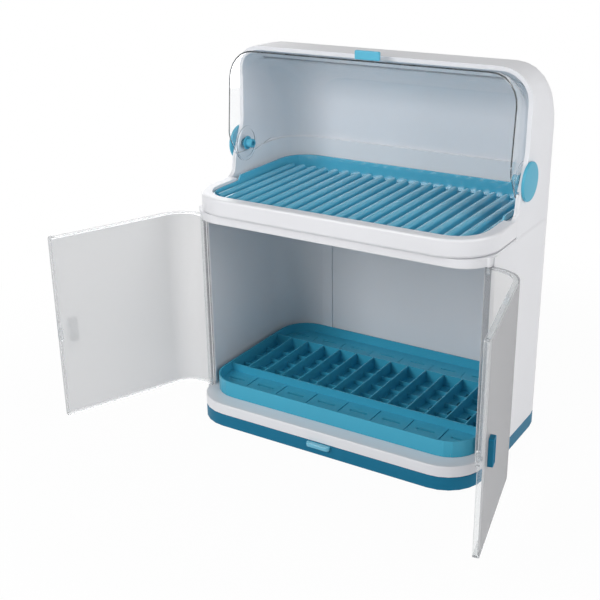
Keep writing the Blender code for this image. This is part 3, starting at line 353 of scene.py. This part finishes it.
def shown_as(name, mesh):
    """Put a mesh in the scene as an object at the origin."""
    thing = bpy.data.objects.new(name, mesh)
    bpy.context.scene.collection.objects.link(thing)
    return thing


print("nodes with a rolled rim:", list(RIM))

# %% Merge a node's copy and mark its rims
RIM_SLACK, OUTWARD = 0.0004, 0.02


def merged(node):
    """A CAD node's mesh with its corners merged, flat faces joined and sharp edges marked."""
    bm = bmesh.new()
    bm.from_mesh(frame["nodes"][node].data)
    bmesh.ops.remove_doubles(bm, verts=bm.verts, dist=MERGE)
    bmesh.ops.dissolve_limit(bm, angle_limit=FLAT, verts=bm.verts, edges=bm.edges)
    mesh = bpy.data.meshes.new(node + "_shape")
    bm.to_mesh(mesh)
    bm.free()
    mesh.set_sharp_from_angle(angle=SHARP)
    return mesh


def rolled(mesh, heights, front):
    """Bevel weights: 1 on outer rims at the given heights in front of a line, 0 on other edges."""
    bm = bmesh.new()
    bm.from_mesh(mesh)
    weight = bm.edges.layers.float.new("bevel_weight_edge")
    for edge in bm.edges:
        if edge.calc_face_angle(0.0) > SHARP:
            ends = [end.co for end in edge.verts]
            middle = (ends[0] + ends[1]) / 2
            off = min(max(abs(end.z - height) for end in ends) for height in heights)
            outer = any(face.normal.xy.dot(middle.xy) > OUTWARD for face in edge.link_faces)
            edge[weight] = float(off < RIM_SLACK and outer and max(end.y for end in ends) < front)
    bm.to_mesh(mesh)
    bm.free()


LATER = {  # nodes that a later cell changes or makes anew
    "lower_drainer", "door_left", "door_right", "door_handle_left", "door_handle_right",
    "lid_tab", "tray_pull", "pivot_cap_left", "pivot_cap_right", "pivot_hub_left",
    "pivot_hub_right"}
for node in LOOK:
    if node not in LATER:
        mesh = merged(node)
        if node in RIM:
            rolled(mesh, *RIM[node][1:])
        settle(shown_as(node + "_piece", mesh), node)
print("copied pieces:", len(PIECES))

# %% [markdown]
# ## Surfaces from grids of points
#
# The small parts that the hand meets are turned or pressed: caps, hubs, grips and tabs. Each
# is a closed outline carried up a profile, so one function makes them all. The outline is a
# rectangle with rounded corners; with the corner radius as large as the half width it is a
# circle. Numpy works out every point at once, and the loops become quads.

# %% Skin a stack of loops
SKIN_SHARP = math.radians(40)


def skin(name, shapes):
    """Quads between the loops of every shape in (shape, row, around, xyz), both ends closed."""
    shapes = shapes if shapes.ndim == 4 else shapes[None]
    number, rows, around = shapes.shape[:3]
    ring = np.arange(around)
    base = (np.arange(number) * rows * around)[:, None, None]
    row = (np.arange(rows - 1) * around)[None, :, None]
    here = base + row + ring
    onward = base + row + np.roll(ring, -1)
    quads = np.stack([here, onward, onward + around, here + around], -1).reshape(-1, 4)
    first = base[:, 0] + ring[::-1]
    last = base[:, 0] + (rows - 1) * around + ring
    faces = quads.tolist() + first.tolist() + last.tolist()
    mesh = bpy.data.meshes.new(name + "_shape")
    mesh.from_pydata(shapes.reshape(-1, 3).tolist(), [], faces)
    bm = bmesh.new()
    bm.from_mesh(mesh)
    bmesh.ops.remove_doubles(bm, verts=bm.verts, dist=MERGE)
    bmesh.ops.recalc_face_normals(bm, faces=bm.faces)
    bm.to_mesh(mesh)
    bm.free()
    mesh.set_sharp_from_angle(angle=SKIN_SHARP)
    return mesh


def pressed(half, corner, profile, around=64):
    """Outline times profile: at inset i the point is sign(n) (half - corner) + (corner - i) n."""
    turn = (np.arange(around) + 0.5) * 2 * math.pi / around
    way = np.stack([np.cos(turn), np.sin(turn)], -1)
    inset, rise = np.array(profile, dtype=float).T
    left = np.maximum(corner - inset, 0.0)[:, None, None]
    core = np.array(half, dtype=float) - np.maximum(inset, corner)[:, None]
    plan = np.sign(way)[None] * core[:, None, :] + left * way[None]
    height = np.broadcast_to(rise[:, None, None], (*plan.shape[:2], 1))
    return np.concatenate([plan, height], -1)


def placed(points, along, across, up, origin):
    """Carry plan x, plan y and rise onto three directions from an origin."""
    axes = np.array([along, across, up], dtype=float)
    return points @ axes + np.array(origin, dtype=float)


def rounded(inset, low, high, radius, steps=5):
    """Profile of a wall from low to high whose top edge is rolled over by a quarter circle."""
    bend = np.linspace(0, math.pi / 2, steps)
    roll = np.stack([inset + radius * (1 - np.cos(bend)), high - radius * (1 - np.sin(bend))], -1)
    return [(inset, low)] + roll.tolist()


print("points in a rolled wall's profile:", len(rounded(0.0, 0.0, 0.01, 0.001)))

# %% [markdown]
# ## Pivots
#
# The lid turns on two shafts. Outside the hood each shaft ends in a round cap with a rolled
# edge and a slightly domed face; inside the lid's ear it sits in a stubby hub with a hollow
# nose. Both are turned parts, so their profiles are lists of inset from the edge and rise.

# %% Pivot caps and hubs
CAP_RADIUS, CAP_AROUND = 0.0262, 96
SHAFT_INSET, SHAFT_LENGTH = 0.0210, 0.0174
CAP_EDGE, CAP_WALL, CAP_TOP, CAP_ROLL = 0.0006, 0.0020, 0.0214, 0.0014
CAP_DOME = [(0.008, 0.0216), (0.018, 0.0218), (0.0252, 0.0219)]
CAP_PROFILE = [(SHAFT_INSET, 0.0), (SHAFT_INSET, SHAFT_LENGTH),
               (CAP_EDGE, SHAFT_LENGTH), (0.0, SHAFT_LENGTH + CAP_EDGE),
               *rounded(0.0, SHAFT_LENGTH + CAP_WALL, CAP_TOP, CAP_ROLL), *CAP_DOME]
HUB_RADIUS = 0.0100
NOSE_INSET, NOSE_LOW, NOSE_TOP, NOSE_ROLL = 0.0034, 0.0020, 0.0110, 0.0012
HUB_FLANGE = [(0.0, 0.0), (0.0, 0.0007), (0.0003, 0.0010), (NOSE_INSET, 0.0011)]
HUB_HOLLOW = [(0.0062, NOSE_TOP), (0.0066, 0.0106), (0.0066, 0.0068)]
HUB_PROFILE = [*HUB_FLANGE, *rounded(NOSE_INSET, NOSE_LOW, NOSE_TOP, NOSE_ROLL), *HUB_HOLLOW]

for side, name in ((-1, "left"), (1, "right")):
    low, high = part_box("pivot_cap_" + name)
    inner = low[0] if side > 0 else high[0]
    middle = ((low[1] + high[1]) / 2, (low[2] + high[2]) / 2)
    disc = pressed((CAP_RADIUS, CAP_RADIUS), CAP_RADIUS, CAP_PROFILE, CAP_AROUND)
    cap = placed(disc, (0, 1, 0), (0, 0, 1), (side, 0, 0), (inner, *middle))
    node = "pivot_cap_" + name
    settle(shown_as(node + "_piece", skin(node, cap)), node)
    low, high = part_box("pivot_hub_" + name)
    seat = high[0] if side > 0 else low[0]
    stub = pressed((HUB_RADIUS, HUB_RADIUS), HUB_RADIUS, HUB_PROFILE)
    hub = placed(stub, (0, 1, 0), (0, 0, 1), (-side, 0, 0), (seat, *middle))
    node = "pivot_hub_" + name
    settle(shown_as(node + "_piece", skin(node, hub)), node)
print("pivot caps reach x", round(float(cap[..., 0].max()), 4))

# %% [markdown]
# ## Doors
#
# Each door is one clear moulding whose skin is frosted, with clear flanges round it. The
# skin is pale on the inside and painted grey on the outside: the grey is painted shade on
# the outer faces. A face belongs to the skin when, with the door turned back to shut, it
# lies at the right distance from the line that the corner is bent about.

# %% Share a door's faces among three finishes
HINGE = np.array([0.2205, -0.0978])
OPENED = {"left": (-1, math.radians(112.5)), "right": (1, math.radians(102))}
BEND = np.array([-0.0391, -0.0013])
SKIN_OUTSIDE, SKIN_INSIDE = (0.0430, 0.0440), (0.0405, 0.0416)
FACING = 0.9


def shut(points, side, opened):
    """Plan points about the hinge, turned back to shut and mirrored to the right side."""
    moved = points[:, :2] - HINGE * (side, 1)
    turn = -side * opened
    spin = np.array([[math.cos(turn), -math.sin(turn)], [math.sin(turn), math.cos(turn)]])
    return (moved @ spin.T) * (side, 1)


for name, (side, opened) in OPENED.items():
    node = "door_" + name
    mesh = merged(node)
    centres, normals = np.empty((2, len(mesh.polygons) * 3))
    mesh.polygons.foreach_get("center", centres)
    mesh.polygons.foreach_get("normal", normals)
    place = shut(centres.reshape(-1, 3), side, opened)
    facing = shut(normals.reshape(-1, 3) + (*(HINGE * (side, 1)), 0.0), side, opened)
    centre = np.stack([np.minimum(place[:, 0], BEND[0]), np.maximum(place[:, 1], BEND[1])], -1)
    spoke = place - centre
    reach = np.linalg.norm(spoke, axis=1)
    lean = (facing * spoke).sum(1) / np.maximum(reach, 1e-9)
    kind = np.zeros(len(reach), dtype=np.int32)
    kind[(lean > FACING) & (reach > SKIN_OUTSIDE[0]) & (reach < SKIN_OUTSIDE[1])] = 1
    kind[(lean < -FACING) & (reach > SKIN_INSIDE[0]) & (reach < SKIN_INSIDE[1])] = 2
    for material in (CLEAR, OUTSIDE_PAINTED_SHADE, INSIDE):
        mesh.materials.append(material)
    mesh.polygons.foreach_set("material_index", kind)
    settle(shown_as(node + "_piece", mesh), node)
    print("door", name, "faces clear, outside, inside:", np.bincount(kind, minlength=3).tolist())

# %% [markdown]
# ## Grips, tab and pull
#
# The grips are upright bars with a dished face for the fingertip. They stand on the doors'
# outsides, so their place is worked out about the hinge and turned by the opening angle. The
# lid's tab and the tray's pull are small rounded plates on the edges that they help to move.

# %% Grips with a dished face
GRIP_HALF, GRIP_CORNER, GRIP_RISE, GRIP_ROLL = (0.0070, 0.0180), 0.0022, 0.0066, 0.0012
GRIP_DISH = [(0.0019, GRIP_RISE), (0.0024, 0.0060), (0.0030, 0.0044), (0.0036, 0.0040)]
GRIP_MIDDLE, GRIP_FACE, GRIP_Z = -0.1959, 0.0451, 0.166
SMALL_AROUND, PULL_AROUND = 48, 64

grip_profile = [*rounded(0.0, 0.0, GRIP_RISE, GRIP_ROLL), *GRIP_DISH]
grip = pressed(GRIP_HALF, GRIP_CORNER, grip_profile, SMALL_AROUND)
for name, (side, opened) in OPENED.items():
    turn = side * opened
    along = np.array([math.cos(turn), math.sin(turn), 0.0])
    out = np.array([math.sin(turn), -math.cos(turn), 0.0])
    hinge = np.array([*(HINGE * (side, 1)), GRIP_Z])
    start = hinge + along * side * GRIP_MIDDLE + out * GRIP_FACE
    node = "door_handle_" + name
    settle(shown_as(node + "_piece", skin(node, placed(grip, along, (0, 0, 1), out, start))), node)
print("right grip's place", np.round(start, 4).tolist())

# %% Tab on the lid's rim and pull on the tray
TAB_HALF, TAB_CORNER, TAB_RISE, TAB_ROLL = (0.0185, 0.0060), 0.0018, 0.0038, 0.0012
TAB_FACE, TAB_LAP = 0.0040, 0.0004
PULL_HALF, PULL_CORNER = (0.0190, 0.0070), 0.0055
PULL_LOW, PULL_RISE, PULL_ROLL = 0.0020, 0.0066, 0.0016
PULL_FOOT = [(0.0014, 0.0), (0.0004, 0.0006)]

low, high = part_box("lid_tab")
tab_profile = [*rounded(0.0, 0.0, TAB_RISE, TAB_ROLL), (TAB_FACE, TAB_RISE)]
tab = pressed(TAB_HALF, TAB_CORNER, tab_profile, SMALL_AROUND)
tab = placed(tab, (1, 0, 0), (0, 0, 1), (0, -1, 0),
             (high[0] - TAB_HALF[0], high[1] - TAB_LAP, low[2] + TAB_HALF[1]))
settle(shown_as("lid_tab_piece", skin("lid_tab", tab)), "lid_tab")

low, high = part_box("tray_pull")
pull_profile = [*PULL_FOOT, *rounded(0.0, PULL_LOW, PULL_RISE, PULL_ROLL)]
pull = pressed(PULL_HALF, PULL_CORNER, pull_profile, PULL_AROUND)
pull = placed(pull, (1, 0, 0), (0, 1, 0), (0, 0, 1),
              (0, low[1] + PULL_HALF[1], high[2] - PULL_RISE))
pull[..., 1] = np.minimum(pull[..., 1], high[1])
settle(shown_as("tray_pull_piece", skin("tray_pull", pull)), "tray_pull")
print("tab", 2 * TAB_HALF[0], "m wide, pull", 2 * PULL_HALF[0], "m wide")

# %% [markdown]
# ## The upper drainer's ridges
#
# The ridges are half-round bars with a ball-shaped back end, and cups stand on them so that
# air gets in below. The CAD's are coarse, so finer ones lie over them, five hundredths of a
# millimetre larger. Their front ends follow the rounded corners of the drainer.

# %% Round ridges on the upper drainer
RIDGES, RIDGE_PITCH, RIDGE_RADIUS, NOSE_STRETCH = 21, 0.0199, 0.0053, 1.05
RIDGE_NEAR, RIDGE_END, RIDGE_FLOOR, CROWN = -0.1155, 0.1145, 0.3311, 0.34215
TRAY_HALF, TRAY_CORNER, NARROWEST = 0.2070, 0.0430, 0.02
NOSE_STEPS, DOME_STEPS = 9, 17

middles = (np.arange(RIDGES) - (RIDGES - 1) / 2) * RIDGE_PITCH
past = np.maximum(np.abs(middles) + RIDGE_RADIUS - (TRAY_HALF - TRAY_CORNER), 0)
starts = RIDGE_NEAR + TRAY_CORNER - np.sqrt(TRAY_CORNER ** 2 - past ** 2)
bend = np.linspace(0, math.pi / 2, NOSE_STEPS)
ends = RIDGE_END - RIDGE_RADIUS + RIDGE_RADIUS * NOSE_STRETCH * np.sin(bend)
run = np.concatenate([starts[:, None], np.tile(ends, (RIDGES, 1))], 1)
narrow = np.concatenate([[1.0], np.maximum(np.cos(bend), NARROWEST)])[None, :, None]
dome = np.linspace(-math.pi / 2, math.pi / 2, DOME_STEPS)
sideways = np.concatenate([[-1.0], np.sin(dome), [1.0]])
upwards = np.concatenate([[0.0], np.cos(dome), [0.0]])
wide = middles[:, None, None] + RIDGE_RADIUS * narrow * sideways
tall = CROWN - RIDGE_RADIUS + RIDGE_RADIUS * narrow * upwards
tall = np.broadcast_to(tall, wide.shape).copy()
tall[..., [0, -1]] = RIDGE_FLOOR
ridges = np.stack([wide, np.broadcast_to(run[:, :, None], wide.shape), tall], -1)
bars = shown_as("upper_drainer_ridges", skin("upper_drainer_ridges", ridges))
settle(bars, "upper_drainer", soften=False)
print("ridges:", RIDGES, "with", len(bars.data.polygons), "faces")

# %% [markdown]
# ## The lower drainer's trough and bays
#
# The lower drainer keeps its CAD shape, but the slots of its front trough sit nearer to the
# plate bays and are a little wider, the score lines between the cells are deeper, and three
# low ribs cross the bays. Boolean operations with rows of boxes do all of it: plugs fill the
# old slots, and other boxes cut the new ones.

# %% Boxes in a row, joined or taken away
def blocks(low, high):
    """Eight corners for every pair of low and high corners, as one mesh of boxes."""
    pick = np.array([[i & 1, i >> 1 & 1, i >> 2 & 1] for i in range(8)])
    corners = np.where(pick[None], high[:, None], low[:, None])
    sides = np.array([[0, 2, 3, 1], [4, 5, 7, 6], [0, 1, 5, 4],
                      [2, 6, 7, 3], [0, 4, 6, 2], [1, 3, 7, 5]])
    faces = (np.arange(len(low)) * 8)[:, None, None] + sides
    mesh = bpy.data.meshes.new("blocks")
    mesh.from_pydata(corners.reshape(-1, 3).tolist(), [], faces.reshape(-1, 4).tolist())
    return mesh


def row_of(x, y, half, z):
    """Boxes at many x on one y, or at many y on one x, with the same half size and the same z."""
    middle = np.stack(np.broadcast_arrays(x, y), -1)
    low = np.concatenate([middle - half, np.full((len(middle), 1), z[0])], 1)
    high = np.concatenate([middle + half, np.full((len(middle), 1), z[1])], 1)
    return blocks(low, high)


def carved(thing, operation, tools):
    """Join or take away a mesh of boxes, worked out once and kept as the piece's mesh."""
    tool = shown_as("tool", tools)
    carve = thing.modifiers.new("carve", "BOOLEAN")
    carve.operation, carve.solver, carve.object = operation, "EXACT", tool
    view = bpy.context.evaluated_depsgraph_get()
    thing.data = bpy.data.meshes.new_from_object(thing.evaluated_get(view))
    thing.modifiers.clear()
    bpy.data.objects.remove(tool)


tray = shown_as("lower_drainer_piece", merged("lower_drainer"))
print("lower drainer before carving:", len(tray.data.polygons), "faces")

# %% Slots, score lines and cross ribs in the lower drainer
TROUGH_FLOOR, TROUGH_BELOW, TROUGH_EDGE = 0.0463, 0.0433, -0.0558
CELLS, CELL = 8, 0.05325
SLOT_WAS, SLOT_AT, SLOT_HALF = 0.0375, 0.0218, np.array([0.0140, 0.0021])
SCORE_AT, SCORE_HALF, SCORE_DEPTH = 0.0225, np.array([0.0009, 0.0200]), 0.0022
PLUG_LAP, PLUG_SHY, CUT_ABOVE, CUT_BELOW = 0.0002, 0.00002, 0.001, 0.002
RIBS_Y, RIB_HALF, RIB_Z = (-0.0225, 0.0095, 0.0415), (0.2100, 0.0008), (0.0385, 0.0465)

cells = (np.arange(CELLS) - (CELLS - 1) / 2) * CELL
scores = (np.arange(CELLS - 1) - (CELLS - 2) / 2) * CELL
inside_floor = (TROUGH_BELOW + PLUG_SHY, TROUGH_FLOOR - PLUG_SHY)
through = (TROUGH_BELOW - CUT_BELOW, TROUGH_FLOOR + CUT_ABOVE)
score_z = (TROUGH_FLOOR - SCORE_DEPTH, TROUGH_FLOOR + CUT_ABOVE)
carved(tray, "UNION", row_of(cells, TROUGH_EDGE - SLOT_WAS, SLOT_HALF + PLUG_LAP, inside_floor))
carved(tray, "DIFFERENCE", row_of(cells, TROUGH_EDGE - SLOT_AT, SLOT_HALF, through))
carved(tray, "DIFFERENCE", row_of(scores, TROUGH_EDGE - SCORE_AT, SCORE_HALF, score_z))
carved(tray, "UNION", row_of(0.0, RIBS_Y, RIB_HALF, RIB_Z))
tray.data.set_sharp_from_angle(angle=SHARP)
settle(tray, "lower_drainer")
print("front trough: slots", CELLS, "scores", CELLS - 1, "faces", len(tray.data.polygons))

# %% [markdown]
# ## Floor, background and light
#
# The picture has a plain white ground. Floor and world are white to rays from the camera,
# from mirroring surfaces and through clear plastic, but to all other rays the floor is pale
# plastic and the world only glows softly, so the rack keeps its shading and its shadow. A
# broad lamp from the left front does the modelling, and weaker ones fill in from above,
# from the right and from behind on the left.

# %% Floor and world
FLOOR_HALF, FLOOR_GAP = 4.0, 0.0004
NEAR_FLOOR, FAR_FLOOR, NEAR_SHARE = 0.42, 0.9, 0.96
FLOOR_COLOUR, FLOOR_ROUGHNESS = (0.90, 0.90, 0.91, 1.0), 0.6
SPECK_SCALE, SPECK_SPREAD = 40.0, 0.1
WORLD_LIGHT = 0.25
PURE_WHITE = (1.0, 1.0, 1.0, 1.0)


def viewed(nodes):
    """1 for rays from the camera, from mirroring surfaces or through clear ones, else 0."""
    seen, mirrored, through = [nodes.node("ShaderNodeLightPath", {}, output="Is " + kind + " Ray")
                               for kind in ("Camera", "Glossy", "Transmission")]
    return nodes.node("ShaderNodeMath", {"operation": "MINIMUM"}, seen + mirrored + through, 1.0)


floor_z = cad_box[0][2] - FLOOR_GAP
square = ((-1, -1), (1, -1), (1, 1), (-1, 1))
corners = [(x * FLOOR_HALF, y * FLOOR_HALF, floor_z) for x, y in square]
floor_mesh = bpy.data.meshes.new("floor")
floor_mesh.from_pydata(corners, [], [(0, 1, 2, 3)])
floor = shown_as("floor", floor_mesh)
ground = Finish("pale_floor")
spot = ground.node("ShaderNodeTexCoord", {}, output="Object")
speck = ground.node("ShaderNodeTexNoise", {}, Vector=spot, Scale=SPECK_SCALE, output="Fac")
ground.set(Base_Color=FLOOR_COLOUR, Roughness=speck * SPECK_SPREAD + FLOOR_ROUGHNESS)
away = ground.node("ShaderNodeVectorMath", {"operation": "LENGTH"}, spot, output="Value")
share = ground.node("ShaderNodeMapRange", {"interpolation_type": "SMOOTHSTEP"},
                    away, NEAR_FLOOR, FAR_FLOOR, NEAR_SHARE, 1.0)
glow = ground.node("ShaderNodeEmission", {}, Color=PURE_WHITE, Strength=1.0)
plain = Value(ground, ground.shader.outputs[0])
lit = viewed(ground) * share
ground.put(ground.surface, ground.node("ShaderNodeMixShader", {}, lit, plain, glow))
floor.data.materials.append(ground.material)

world = bpy.data.worlds.new("studio")
world.use_nodes = True
bpy.context.scene.world = world
sky = Nodes(world.node_tree)
background = sky.tree.nodes["Background"]
sky.put(background.inputs["Color"], PURE_WHITE)
sky.put(background.inputs["Strength"],
        sky.node("ShaderNodeMapRange", {}, viewed(sky), 0.0, 1.0, WORLD_LIGHT, 1.0))
print("floor at z", round(floor_z, 4), "world light", WORLD_LIGHT)

# %% Lamps
LAMPS = {  # place, where it points, side of the square in metres, watts
    "key": ((-0.9, -2.25, 1.35), (0, 0, 0.25), 1.2, 34),
    "top": ((0.1, -1.0, 2.0), (0, 0, 0.3), 1.6, 3),
    "side": ((2.0, -0.5, 1.1), (0, 0, 0.25), 1.4, 22),
    "back": ((-1.9, 1.5, 0.7), (0, 0, 0.25), 1.4, 15),
}
for name, (place, target, size, power) in LAMPS.items():
    light = bpy.data.lights.new(name, "AREA")
    light.shape, light.size, light.energy = "SQUARE", size, power
    lamp = bpy.data.objects.new(name, light)
    lamp.location = place
    lamp.rotation_euler = (Vector(target) - Vector(place)).to_track_quat("-Z", "Y").to_euler()
    bpy.context.scene.collection.objects.link(lamp)
print("lamps, in watts:", {name: lamp[-1] for name, lamp in LAMPS.items()})
